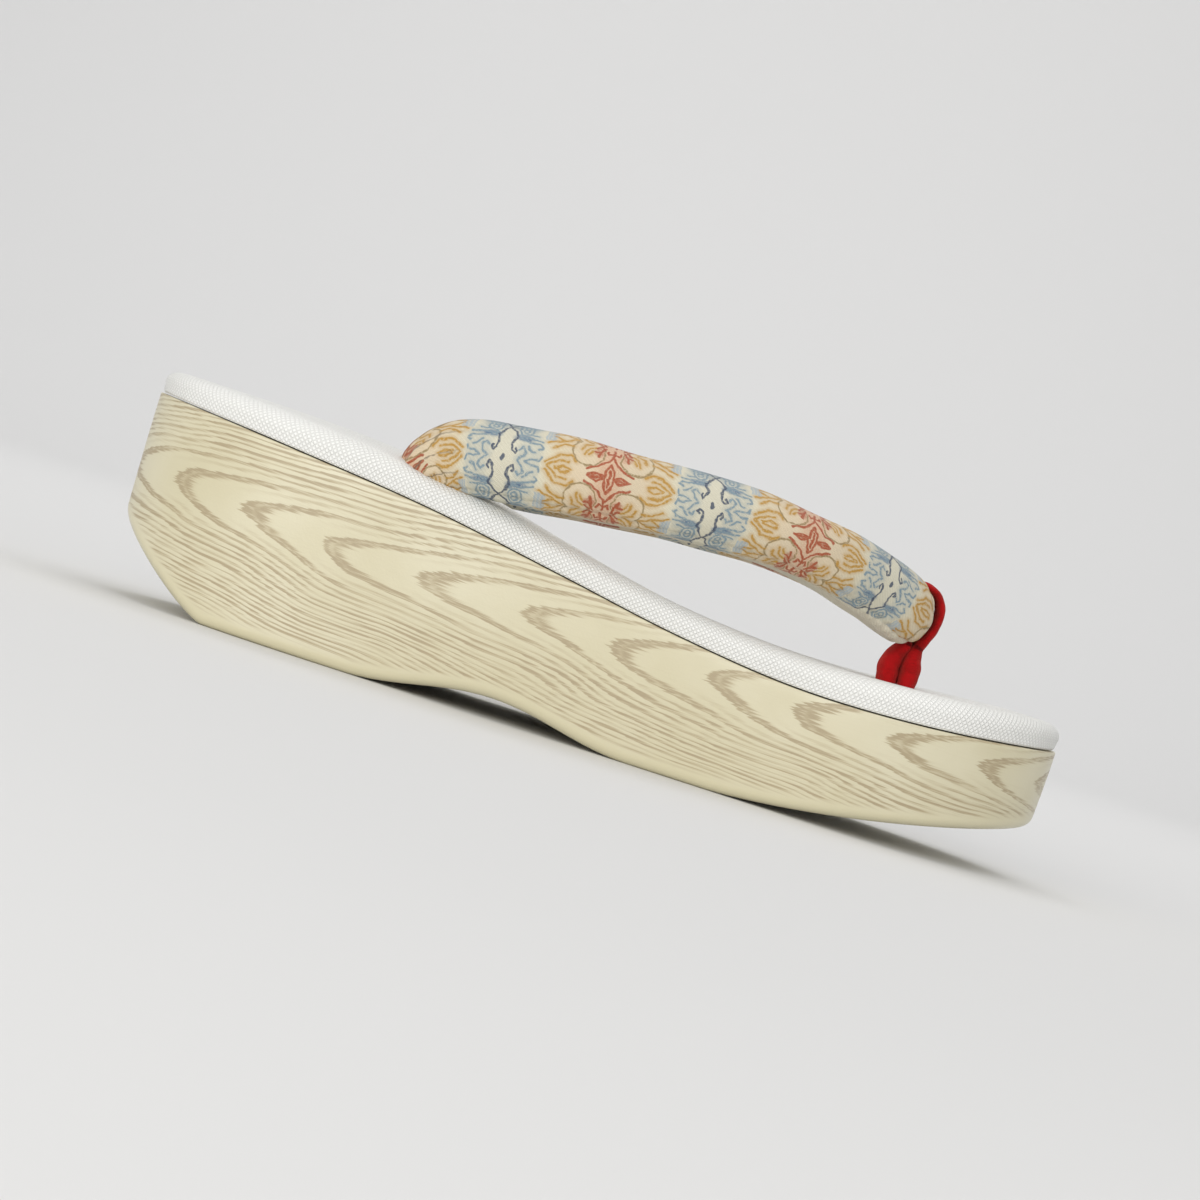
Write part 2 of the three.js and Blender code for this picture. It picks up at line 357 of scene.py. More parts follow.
# Broad, faint, uneven patches, which any handled surface has. Size is in millimetres.
patches, ends, way_out = group_of("handling_patches", {"Size": 20.0, "Seed": 0.0}, ["Share"])
where = patches.nodes.new("ShaderNodeTexCoord")
spots = patches.nodes.new("ShaderNodeTexNoise")
spots.noise_dimensions = "4D"
spots.inputs["Detail"].default_value = 4
patches.links.new(where.outputs["Object"], spots.inputs["Vector"])
patches.links.new((1 / MM / ends["Size"]).value, spots.inputs["Scale"])
patches.links.new(ends["Seed"].value, spots.inputs["W"])
patches.links.new(Reading(patches, spots.outputs["Fac"]).band(0.3, 0.7).value, way_out.inputs["Share"])

FILM_CREAM = (0.600, 0.550, 0.375)
FILM_PALE = (0.660, 0.615, 0.450)
GRAIN_TAUPE = (0.320, 0.245, 0.148)
GRAIN_SOFT = (0.430, 0.355, 0.215)
EDGE_YELLOW = (0.650, 0.600, 0.415)
UNDERSIDE_CREAM = (0.60, 0.55, 0.38)
ARCH_PITCH, ARCH_START = 22.4, 21.5
ARM_LEAN, ARM_BEND = 11.0, 9.5
STROKES_IN_ARCH = 5
TREAD_PITCH, TREAD_DEPTH = 4.0, 8
FILM_RELIEF = 0.00006

film, tree, shader = finish_material("printed_wood_film", {"Coat Weight": 0.25, "Coat Roughness": 0.25})
way, off_tip, rise = lie_of(tree)

# The printed arches lie one behind the other along the wall. Each opens from its tip into two arms
# that run back, and slow noise bends them as real grain bends.
sway = grain_noise(tree, way, off_tip * 1.4, 3.0, scale=0.020, detail=1.0) - 0.5
ripple = grain_noise(tree, way * 0.5, off_tip * 1.2, 9.0, scale=0.085, detail=1.0) - 0.5
pores = grain_noise(tree, way * 0.050, off_tip * 1.9, 5.0, scale=1.0, detail=2.0, roughness=0.6) - 0.5
off = off_tip + sway * 5.5 + ripple * 2.2
arm = ((off * off + ARM_BEND * ARM_BEND).root() - ARM_BEND) * ARM_LEAN
arches = way + sway * 12.0 + ripple * 4.0 + pores * 8.0 - arm + ARCH_START
phase = (arches / ARCH_PITCH).share()
steep = abs(off).band(2.5, 10.0)

# An arch is a bundle of strokes at its leading edge, with a thinner line between two arches on the
# arms. Breaks and fine hairs keep it from looking ruled.
strokes = (phase * STROKES_IN_ARCH * math.pi * 2).sine().band(-1.0, 0.2, 0.45, 1.0)
leading = phase.band(0.0, 0.05) * phase.band(0.17, 0.40, 1, 0)
between = phase.band(0.50, 0.57) * phase.band(0.66, 0.78, 1, 0) * steep * 0.8
arch_lines = (leading * strokes.most(steep)).most(between)
bold = grain_noise(tree, way * 0.030, off_tip * 0.28, 12.0, detail=2.0).band(0.30, 0.60, 0.45, 1.0)
dashes = pores.band(-0.12, 0.14, 1.0, 0.45)
hairs = grain_noise(tree, way * 0.09, off_tip * 3.6, 8.0, detail=2.0).band(0.54, 0.70) * 0.35
halo = leading * (1 - steep) * 0.22
ink = arch_lines * bold * dashes * 1.05 + halo + hairs * (0.15 + steep * 0.5)
print_share = ink.least(1.0) * rise.band(2.6, 4.4)

cream = layered(tree, FILM_CREAM, FILM_PALE, placed(tree, patches, {"Size": 30.0, "Seed": 2.0}, "Share"))
cream = layered(tree, cream, EDGE_YELLOW, rise.band(1.6, 3.6, 1, 0))
soft = layered(tree, cream, GRAIN_SOFT, (print_share * 1.5).least(1.0) * 0.78)
printed = layered(tree, soft, GRAIN_TAUPE, print_share.band(0.30, 0.95) * 0.50)
coloured = layered(tree, printed, UNDERSIDE_CREAM, rise.band(0.05, 0.3, 1, 0))
tree.links.new(coloured, shader.inputs["Base Color"])
gloss = placed(tree, patches, {"Size": 12.0, "Seed": 7.0}, "Share") * 0.08 + print_share * 0.08 + 0.34
tree.links.new(gloss.value, shader.inputs["Roughness"])
skin = grain_noise(tree, way, off_tip, 2.0, scale=1.6, detail=2.0)
tread_way = tree.nodes.new("ShaderNodeTexCoord")
tread_axes = tree.nodes.new("ShaderNodeSeparateXYZ")
tree.links.new(tread_way.outputs["Object"], tread_axes.inputs[0])
tread = Reading(tree, tread_axes.outputs[0]) / MM * math.pi / TREAD_PITCH
tread = abs(tread.sine()).band(0.1, 0.4) * rise.band(0.05, 0.2, 1, 0) * TREAD_DEPTH
relief = skin * 0.5 - print_share * 0.5 + tread
tree.links.new(raised(tree, relief, FILM_RELIEF), shader.inputs["Normal"])
sole_block.data.materials.append(film)
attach(sole_block, "root")
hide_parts("sole")

# ---------------------------------------------------------------------------------------------
# Footbed. A foam pad in white vinyl with a fine embossed net, glued on the sole. Its edge is
# rolled, it is domed under the heel, and it gives a little where the strap and the thong go in.
# ---------------------------------------------------------------------------------------------
# The pad's section: rise over the seam, inset from the outline, and share of the dome's swell.
FOOTBED_ROWS = {"rise": (0.3, 0.7, 1.3, 2.2, 3.2, 4.1, 4.9, 5.5, 6.0, 6.3, 6.5, 6.6, 6.6, 6.5, 6.4),
                "inset": (0.5, 0.15, 0.0, -0.15, -0.3, -0.1, 0.4, 1.1, 2.0, 3.1, 4.4, 6.0, 8.0, 15.0, 26.0),
                "swell": (0, 0, 0, 0.05, 0.1, 0.16, 0.22, 0.27, 0.32, 0.38, 0.44, 0.51, 0.6, 0.85, 1.0)}
LAST_EDGE_ROW, EDGE_RINGS, TOP_RINGS = 12, 37, 12
DOME_ROWS = {"x": (-120, -100, -78, -56, -34, -12, 12, 40, 120),
             "swell": (-0.6, 1.4, 3.0, 3.8, 3.0, 1.5, 0.5, 0.2, -0.3)}
# The pad is thicker under the front of the foot.
FORE_PAD_ROWS = {"x": (-120, 15, 60, 104, 120), "times": (1, 1, 1.18, 1.18, 1.0)}
PAD_LEAN = 1.4
STRAP_DIP = {"x": -47, "y": 29, "reach": (9, 7), "depth": 1.2}
THONG_DIP = {"x": 75.2, "y": 0, "reach": (5, 5), "depth": 0.2}
TOP_STARTS = 4.0


def footbed_rings():
    """Rings of the pad from the seam up its rolled edge and in over its top."""
    marks = np.arange(len(FOOTBED_ROWS["rise"]))
    on_edge = np.linspace(0, LAST_EDGE_ROW, EDGE_RINGS)
    on_top = np.linspace(LAST_EDGE_ROW, marks[-1], TOP_RINGS)[1:]
    rings, heights, girths = [], [], []
    girth = 0
    before = None
    for place in np.concatenate([on_edge, on_top]):
        rise, inset, swell = (read_rows(marks, FOOTBED_ROWS[key], place) for key in FOOTBED_ROWS)
        x, y = outline_ring(float(inset))
        thick = rise * read_rows(FORE_PAD_ROWS["x"], FORE_PAD_ROWS["times"], x)
        z = seam_height(x) + thick + swell * read_rows(DOME_ROWS["x"], DOME_ROWS["swell"], x)
        if before is not None:
            girth += math.hypot(rise - before[0], inset - before[1])
        before = (rise, inset)
        rings.append(np.stack([leaned(x, PAD_LEAN), y, z], 1))
        heights.append(z)
        girths.append(np.full(len(x), girth))
    return rings, heights, girths


def pressed(ring, dip, side=1):
    """Sinks the points of a ring that lie on top of the pad, near a dip."""
    x, y, z = ring.T
    near = np.hypot((x - dip["x"]) / dip["reach"][0], (y - side * dip["y"]) / dip["reach"][1])
    on_top = z > seam_height(x) + TOP_STARTS
    return np.stack([x, y, z - dip["depth"] * np.exp(-near ** 2) * on_top], 1)


pad_rings, pad_heights, pad_girths = footbed_rings()
for dip, side in ((STRAP_DIP, -1), (STRAP_DIP, 1), (THONG_DIP, 1)):
    pad_rings = [pressed(ring, dip, side) for ring in pad_rings]
footbed_pad = outline_shell("footbed_pad", pad_rings, pad_heights, pad_girths)

# The embossed net: two sets of ridges that cross slantwise.
net, ends, way_out = group_of("embossed_net", {"First": 0.0, "Second": 0.0, "Pitch": 1.0}, ["Height"])
one_way = (ends["First"] + ends["Second"]) * math.pi / ends["Pitch"]
other_way = (ends["First"] - ends["Second"]) * math.pi / ends["Pitch"]
ridges = abs(one_way.sine()).least(abs(other_way.sine()))
net.links.new(ridges.band(0.05, 0.75).value, way_out.inputs["Height"])

PAD_WHITE = (0.86, 0.86, 0.835)
# The darker white, used both for painted shade in the net's pits and for worn patches.
PAD_SHADE_AND_WEAR = (0.66, 0.66, 0.625)
NET_PITCH = 1.3
NET_RELIEF = 0.00016
vinyl, tree, shader = finish_material("white_vinyl", {"Specular IOR Level": 0.4})
way, height, girth = lie_of(tree)
spot = tree.nodes.new("ShaderNodeTexCoord")
axes = tree.nodes.new("ShaderNodeSeparateXYZ")
tree.links.new(spot.outputs["Object"], axes.inputs[0])
forward, sideways = (Reading(tree, axes.outputs[i]) / MM for i in (0, 1))
edge_net = placed(tree, net, {"First": way, "Second": girth * 1.05, "Pitch": NET_PITCH}, "Height")
top_net = placed(tree, net, {"First": forward, "Second": sideways, "Pitch": NET_PITCH}, "Height")
on_edge = girth.band(7.0, 9.0, 1, 0)
emboss = edge_net * on_edge + top_net * (1 - on_edge)
fine = grain_noise(tree, forward, sideways, height, scale=2.5, detail=3.0)
# The net's pits are darkened with painted shade; the worn patches are uneven tone of the vinyl.
pit_shade = (1 - emboss) * 0.45
worn = placed(tree, patches, {"Size": 45.0, "Seed": 4.0}, "Share") * 0.25
white = layered(tree, PAD_WHITE, PAD_SHADE_AND_WEAR, (pit_shade + worn).least(1.0))
tree.links.new(white, shader.inputs["Base Color"])
tree.links.new((0.52 + fine * 0.12).value, shader.inputs["Roughness"])
tree.links.new(raised(tree, emboss + fine * 0.25, NET_RELIEF), shader.inputs["Normal"])
footbed_pad.data.materials.append(vinyl)
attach(footbed_pad, "root")
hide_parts("footbed")

# ---------------------------------------------------------------------------------------------
# Strap. A tube of brocade, lined on its underside with plain cream cloth, stuffed hard and
# folded at the front. Its ends are gathered small and go down into the footbed.
# ---------------------------------------------------------------------------------------------
# The left arm from the front fold to its end: its middle line, and half its height and width.
STRAP_ROWS = {"x": (75.2, 72.5, 63.5, 47.0, 26.0, 4.0, -16.0, -30.0, -41.0, -48.0, -50.2),
              "y": (0, 7.0, 15.0, 25.5, 33.0, 36.0, 36.2, 34.8, 31.8, 29.4, 28.4),
              "z": (54.8, 55.1, 58.4, 61.9, 63.1, 62.0, 60.5, 58.9, 57.0, 52.5, 46.6),
              "tall": (5.8, 8.3, 8.2, 7.8, 8.2, 8.6, 9.1, 9.5, 9.2, 7.6, 5.6),
              "wide": (4.3, 6.9, 7.6, 7.8, 8.0, 8.0, 8.2, 8.0, 7.3, 6.3, 4.9)}
ARM_RINGS, STRAP_SIDES = 210, 84
TUBE_RADIUS, GIRTH_RADIUS = 8.0, 8.3
LINING_FROM, LINING_FROM_BACK, LINING_TO = math.radians(66), math.radians(122), math.radians(165)
# What sewing, gathering and the thong do to the stuffed tube.
SEAM_DEPTH, SEAM_SPREAD = 0.40, 0.09
PUCKER_DEPTH, PUCKER_SPREAD, PUCKER_PITCH = 0.16, 0.30, 3.1
GATHER_START, GATHER_LENGTH, GATHER_CURVE = 4, 17.0, 1.3
GATHER_FOLDS, FOLD_DEPTH = 11, 0.95
THONG_GRIP, GRIP_LENGTH = 0.9, 4.6
CRUMPLE_DEPTH, CRUMPLE_PLACE, CRUMPLE_LENGTH = 0.225, 7.2, 2.2


def arm_path():
    """The left arm's marks along its length, and its rows read there with both arms as one curve."""
    steps = [np.diff(STRAP_ROWS[key]) for key in ("x", "y", "z")]
    marks = np.concatenate([[0], np.cumsum(np.hypot(np.hypot(steps[0], steps[1]), steps[2]))])
    both = np.concatenate([-marks[:0:-1], marks])
    at = np.linspace(0, marks[-1], ARM_RINGS + 1)

    def column(key, mirrored=1):
        row = np.array(STRAP_ROWS[key], float)
        return read_rows(both, np.concatenate([mirrored * row[:0:-1], row]), at)

    middle = np.stack([column("x"), column("y", -1), column("z")], 1)
    return at, middle, column("tall"), column("wide")


def swollen(at, left, turn):
    """How far the cloth stands out from the plain tube in one ring, as a share of its radius."""

    def at_seams(spread):
        return sum(np.exp(-((turn - line) / spread) ** 2) for line in (LINING_FROM, LINING_TO))

    gathered = np.clip(1 - (left - GATHER_START) / GATHER_LENGTH, 0, 1) ** GATHER_CURVE
    folds = gathered * FOLD_DEPTH * np.abs(np.sin(turn * GATHER_FOLDS / 2 + 0.6 * np.sin(3 * turn)))
    seams = SEAM_DEPTH * at_seams(SEAM_SPREAD)
    stitching = np.sin(at * 2 * math.pi / PUCKER_PITCH + 0.8 * math.sin(at / 5))
    pucker = PUCKER_DEPTH * stitching * at_seams(PUCKER_SPREAD)
    stuffing = 0.128 * np.sin(at / 6.1 + 2 * turn) + 0.096 * np.sin(at / 3.7 - 3 * turn + 1.0)
    near_thong = math.exp(-((at - CRUMPLE_PLACE) / CRUMPLE_LENGTH) ** 2)
    crumpled = CRUMPLE_DEPTH * near_thong * np.sin(turn * 9 + 0.5)
    tight = THONG_GRIP * math.exp(-(at / GRIP_LENGTH) ** 4)
    return (crumpled + stuffing - folds - seams + pucker - tight) / TUBE_RADIUS


def arm_rings():
    """Rings of the left arm from the front fold to its end, and each ring's way along the tube."""
    at, middle, tall, wide = arm_path()
    along = np.gradient(middle, axis=0)
    along[0] = (0, 1, 0)
    along /= np.linalg.norm(along, axis=1)[:, None]
    across = np.array([1.0, 0, 0])
    turn = np.linspace(0, 2 * math.pi, STRAP_SIDES, endpoint=False)
    rings = []
    for k in range(ARM_RINGS + 1):
        across = across - along[k] * across.dot(along[k])
        across /= np.linalg.norm(across)
        down = np.cross(along[k], across)
        out = 1 + swollen(at[k], at[-1] - at[k], turn)
        sideways = across * (wide[k] * out * np.cos(turn))[:, None]
        rings.append(middle[k] + sideways + down * (tall[k] * out * np.sin(turn))[:, None])
    return rings, at, turn


def tube_mesh(name, rings, lie):
    """A closed tube through its rings. lie(ring, side) is what each corner keeps."""
    sides = len(rings[0])
    faces, corners = [], []
    for r in range(len(rings) - 1):
        for i in range(sides):
            loop = ((r, i), (r, i + 1), (r + 1, i + 1), (r + 1, i))
            faces.append(tuple(ring * sides + side % sides for ring, side in loop))
            corners += [lie(ring, side) for ring, side in loop]
    last = len(rings) - 1
    faces += [tuple(range(sides))[::-1], tuple(range(last * sides, (last + 1) * sides))]
    corners += [lie(0, 0)] * sides + [lie(last, 0)] * sides
    return shoe_mesh(name, np.vstack(rings), faces, corners)


def strap_piece():
    """Both arms as one tube, the right one mirrored from the left."""
    left_rings, at, turn = arm_rings()
    right_rings = [ring * (1, -1, 1) for ring in left_rings[:0:-1]]
    reach = np.concatenate([-at[:0:-1], at])
    girth = -np.concatenate([turn, [2 * math.pi]]) * GIRTH_RADIUS

    def lie(ring, side):
        return (reach[ring], girth[side], at[-1] - abs(reach[ring]))

    return tube_mesh("hanao_tube", right_rings + left_rings, lie)


hanao_tube = strap_piece()

# The weave: threads that cross, at the pitch of fine satin.
weave, ends, way_out = group_of("fine_weave", {"Along": 0.0, "Round": 0.0, "Pitch": 0.5}, ["Height"])
warp = (ends["Along"] * 2 * math.pi / ends["Pitch"]).sine()
weft = (ends["Round"] * 2 * math.pi / ends["Pitch"]).sine()
twill = ((ends["Along"] + ends["Round"]) * math.pi / ends["Pitch"]).sine()
weave.links.new((warp * weft * 0.35 + twill * 0.25 + 0.5).value, way_out.inputs["Height"])

# The cloth's repeat: a blue medallion band and a red flower band by turns along the strap.
BAND_PITCH, FIRST_BLUE = 23.9, 23.3
MEDALLION_PITCH = 17.4
THREAD_PITCH = 0.5
WEAVE_RELIEF = 0.00010

IVORY = (0.685, 0.615, 0.448)
IVORY_COOL = (0.638, 0.615, 0.490)
PEACH = (0.686, 0.520, 0.343)
LINING_CREAM = (0.70, 0.65, 0.52)
LIGHT_BLUE = (0.195, 0.275, 0.325)
DEEP_BLUE = (0.075, 0.145, 0.245)
SQUARE_BLUE = (0.310, 0.400, 0.475)
NAVY = (0.035, 0.060, 0.110)
OCHRE = (0.450, 0.240, 0.028)
OLIVE = (0.240, 0.165, 0.055)
RUST = (0.350, 0.066, 0.018)
FLUSH = (0.620, 0.300, 0.180)
HANDLED = (0.52, 0.46, 0.34)
# The colour of painted shade in the gathered tucks and between the threads.
FOLD_SHADE = (0.16, 0.12, 0.08)

# The chart of one quarter of the repeat, in millimetres of cloth: along the strap from the middle
# of its own band, and round the strap from the middle of the medallion. It mirrors both ways.
RUST_CHART = (((0, 3.3), (0.75, 2.0), (0.95, 0)), ((0, 1.8), (0, 0)),
              ((1.0, 0.1), (2.6, 0.75), (4.8, 0.1)), ((1.3, 0), (4.8, 0)),
              ((0, 5.5), (1.2, 3.7), (2.9, 2.4), (5.3, 1.5)), ((0, 5.5), (0, 7.9)),
              ((0, 6.5), (1.1, 6.1), (1.4, 7.1)), ((2.1, 8.2), (3.0, 6.4), (3.4, 4.7)),
              ((3.0, 6.4), (4.3, 6.2)), ((2.7, 8.4), (4.0, 7.3)))
OCHRE_CHART = (((4.5, 7.4), (5.8, 6.5), (6.4, 4.6)), ((4.8, 5.9), (5.4, 4.9)),
               ((5.3, 8.3), (7.0, 7.4), (7.4, 5.8)), ((7.9, 2.3), (9.2, 3.4), (11.8, 3.2), (14.7, 0.9)),
               ((14.2, 0.1), (11.6, 1.9), (9.6, 1.9)), ((12.4, 0.2), (10.6, 0.7), (9.0, 0.3)),
               ((8.8, 8.6), (11.2, 7.2), (15.0, 5.7)), ((9.3, 6.3), (11.6, 6.0), (13.6, 4.4)),
               ((11.6, 7.2), (13.8, 8.2)))
OLIVE_RINGS = ((5.6, 5.8, 3.7),)
NAVY_CHART = (((0, 8.7), (1.3, 7.0), (2.2, 5.5), (1.5, 3.4), (1.7, 2.0), (2.5, 1.3), (2.9, 2.0),
               (2.5, 2.5)),)
BLUE_CHART = (((2.4, 5.6), (4.8, 5.6), (7.9, 5.2)),
              ((2.4, 5.3), (5.0, 4.5), (7.6, 4.2), (8.3, 3.4), (7.5, 3.0)),
              ((2.3, 6.1), (4.2, 6.7), (6.6, 6.6)),
              ((3.2, 0), (4.4, 1.0), (4.9, 2.3), (4.0, 3.0), (3.5, 2.3)),
              ((5.0, 0), (6.4, 0.7), (7.9, 0.6), (8.2, 1.6)), ((5.0, 3.4), (6.0, 2.3), (6.9, 2.0)))
BLUE_RINGS = ((3.6, 8.0, 1.55), (3.6, 8.0, 0.65))
SQUARE_PLACE, SQUARE_HALF, SQUARE_RIB = (9.3, 7.5), 1.35, 0.8
LINING_TURNS = (12.0, 52.0)


def nearest(tree, place, strokes, rings=()):
    """How far the place is from the nearest drawn stroke or ring, in millimetres."""
    found = None

    def joined(reading):
        return reading if found is None else found.least(reading)

    def vector_node(operation, first, second):
        node = tree.nodes.new("ShaderNodeVectorMath")
        node.operation = operation
        for socket, value in zip(node.inputs, (first, second)):
            if isinstance(value, bpy.types.NodeSocket):
                tree.links.new(value, socket)
            else:
                socket.default_value = (*value, 0)
        return node

    for line in strokes:
        for start, end in zip(line, line[1:]):
            span = (end[0] - start[0], end[1] - start[1])
            square = span[0] ** 2 + span[1] ** 2
            out = vector_node("SUBTRACT", place, start).outputs[0]
            part = vector_node("DOT_PRODUCT", out, (span[0] / square, span[1] / square)).outputs["Value"]
            held = Reading(tree, part).most(0.0).least(1.0)
            foot = vector_node("SCALE", span, (0, 0))
            tree.links.new(held.value, foot.inputs["Scale"])
            found = joined(Reading(tree, vector_node("DISTANCE", out, foot.outputs[0]).outputs["Value"]))
    for x, y, radius in rings:
        out = Reading(tree, vector_node("DISTANCE", place, (x, y)).outputs["Value"])
        found = joined(abs(out - radius))
    return found


def together(tree, along, around):
    """Two readings as one place on the cloth."""
    node = tree.nodes.new("ShaderNodeCombineXYZ")
    tree.links.new(along.value, node.inputs[0])
    tree.links.new(around.value, node.inputs[1])
    return node.outputs[0]


brocade, tree, shader = finish_material("brocade", {
    "Sheen Weight": 0.05, "Sheen Roughness": 0.4, "Specular IOR Level": 0.45})
along, around, from_end = lie_of(tree)
shake = grain_noise(tree, along, around, 1.0, scale=0.55, detail=1.0) - 0.5
second_shake = grain_noise(tree, along, around, 7.0, scale=0.55, detail=1.0) - 0.5
half_pitch = MEDALLION_PITCH / 2

# Places in the repeat: how far off the middle of the red band and of the blue band, and how far
# round from the medallion's middle. Whole pitches are added so that the folding starts above zero.
off_red = (abs(along + shake * 1.2) + (BAND_PITCH - FIRST_BLUE)).folded(BAND_PITCH)
off_blue = BAND_PITCH - off_red
off_round = half_pitch - (around + second_shake * 1.2 + half_pitch + 4 * MEDALLION_PITCH).folded(half_pitch)
red_place = together(tree, off_red, off_round)
blue_place = together(tree, off_blue, off_round)
rust_far = nearest(tree, red_place, RUST_CHART)
ochre_far = nearest(tree, red_place, OCHRE_CHART)
olive_far = nearest(tree, red_place, (), OLIVE_RINGS)
navy_far = nearest(tree, blue_place, NAVY_CHART)
blue_far = nearest(tree, blue_place, BLUE_CHART, BLUE_RINGS)

# The lining starts at the inner edge near the thong and slips underneath on the way back.
threads = placed(tree, weave, {"Along": along, "Round": around, "Pitch": THREAD_PITCH}, "Height")
missing = grain_noise(tree, along * 2.2, around * 2.2, 2.0, detail=2.0).band(0.30, 0.52, 0.30, 1.0)
below = 0 - around
lining_start = abs(along).band(*LINING_TURNS, LINING_FROM * GIRTH_RADIUS, LINING_FROM_BACK * GIRTH_RADIUS)
lining_end = LINING_TO * GIRTH_RADIUS
lining = (below - lining_start).band(-0.1, 0.3) * below.band(lining_end - 0.3, lining_end + 0.1, 1, 0)
top_side = below.band(27.0, 32.0) * below.band(41.5, 45.5, 1, 0)

# Ground colours, then the soft washes of blue and ochre, then the drawn lines, then the lining.
tint = placed(tree, patches, {"Size": 14.0, "Seed": 3.0}, "Share")
ground = layered(tree, IVORY, IVORY_COOL, off_blue.band(6.0, 12.0, 1, 0))
ground = layered(tree, ground, PEACH, off_red.band(7.0, 15.0, 0.55, 0))
ground = layered(tree, ground, FLUSH, (off_red / 4.6).least(1.0).band(0.3, 1.0, 0.65, 0) * missing)
ground = layered(tree, ground, HANDLED, tint * 0.3)
cloth = layered(tree, ground, LIGHT_BLUE, blue_far.band(0.2, 1.5, 0.30, 0) * off_blue.band(7.5, 9.0, 1, 0))
cloth = layered(tree, cloth, LIGHT_BLUE, top_side * off_blue.band(5.5, 7.5, 0.7, 0))
shoulder = far((off_blue - 3.8) / 2.6, (off_round - 5.3) / 1.0).band(0.4, 1.2, 0.95, 0)
cloth = layered(tree, cloth, DEEP_BLUE, shoulder * missing)
cloth = layered(tree, cloth, OCHRE, ochre_far.band(0.2, 1.2, 0.36, 0))
square = abs(off_blue - SQUARE_PLACE[0]).most(abs(off_round - SQUARE_PLACE[1]))
square = square.band(SQUARE_HALF - 0.3, SQUARE_HALF, 0.75, 0)
ribs = (off_blue * 2 * math.pi / SQUARE_RIB).sine().band(-1.0, 0.3, 0.55, 1.0)
cloth = layered(tree, cloth, SQUARE_BLUE, square * ribs)
cloth = layered(tree, cloth, OLIVE, olive_far.band(0.10, 0.32, 0.85, 0) * missing)
cloth = layered(tree, cloth, OCHRE, ochre_far.band(0.16, 0.40, 0.95, 0) * missing)
cloth = layered(tree, cloth, LIGHT_BLUE, blue_far.band(0.14, 0.36, 1.0, 0) * missing)
flower = far((off_red - 3.3) / 1.3, (off_round - 6.2) / 1.7).band(0.5, 1.2, 0.60, 0)
cloth = layered(tree, cloth, RUST, flower * missing)
cloth = layered(tree, cloth, RUST, rust_far.band(0.17, 0.42, 0.98, 0) * missing.most(0.85))
cloth = layered(tree, cloth, NAVY, navy_far.band(0.16, 0.38, 0.95, 0) * missing.most(0.7))
dot = far(off_blue / 0.42, off_round / 0.8).band(0.8, 1.2, 0.9, 0)
speck = grain_noise(tree, along * 1.3, around * 1.3, 4.0, detail=2.0).band(0.55, 0.62)
cloth = layered(tree, cloth, NAVY, dot.most(top_side * speck * off_blue.band(1.5, 4.5, 0.8, 0)))
cloth = layered(tree, cloth, LINING_CREAM, lining)

# Painted shade in the tucks between the gathered folds, and a little painted shade between the threads.
tuck_shade = abs((around * GATHER_FOLDS / (2 * GIRTH_RADIUS) + shake * 1.5).sine()).band(0.0, 0.30, 1, 0)
tuck_shade = tuck_shade * from_end.band(9.0, 21.0, 0.85, 0)
shaded = layered(tree, cloth, FOLD_SHADE, threads.band(0.1, 0.55, 0.20, 0.0).most(tuck_shade))
tree.links.new(shaded, shader.inputs["Base Color"])
tree.links.new((0.55 + threads * 0.12).value, shader.inputs["Roughness"])
tree.links.new(raised(tree, threads + (1 - lining) * 0.6, WEAVE_RELIEF), shader.inputs["Normal"])
hanao_tube.data.materials.append(brocade)
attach(hanao_tube, "root")
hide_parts("hanao_strap")

# ---------------------------------------------------------------------------------------------
# Toe thong. A doubled strip of red velvet. It goes over the strap's front fold, is sewn together
# just under it, opens again as two strands and goes down into the footbed.
# ---------------------------------------------------------------------------------------------
# The band in the sandal's middle plane, from the rear strand's foot up, over and down in front,
# with half its width and half its thickness.
THONG_ROWS = {"x": (73.5, 73.5, 73.1, 74.2, 75.6, 71.8, 69.6, 69.7, 71.8, 75.4,
                    79.0, 81.0, 80.9, 79.6, 78.4, 78.1, 78.4, 78.4, 78.4),
              "z": (32.2, 37.5, 41.5, 45.0, 47.6, 49.6, 53.0, 57.4, 61.0, 62.5,
                    61.2, 57.8, 53.2, 49.8, 47.4, 44.8, 41.6, 37.6, 32.2),
              "wide": (4.4, 4.6, 4.6, 4.3, 4.2, 4.7, 5.1, 5.2, 5.2, 5.2,
                       5.2, 5.2, 5.1, 4.7, 4.3, 4.3, 4.6, 4.6, 4.4),
              "thick": (2.3, 2.5, 2.7, 2.2, 1.4, 1.1, 1.1, 1.1, 1.1, 1.1,
                        1.1, 1.15, 1.2, 1.3, 1.7, 2.2, 2.6, 2.5, 2.3)}
SEWN_ROW = 4
THONG_RINGS, THONG_SIDES = 240, 40
SOFT_CORNER = 0.8
RIPPLE = 0.02


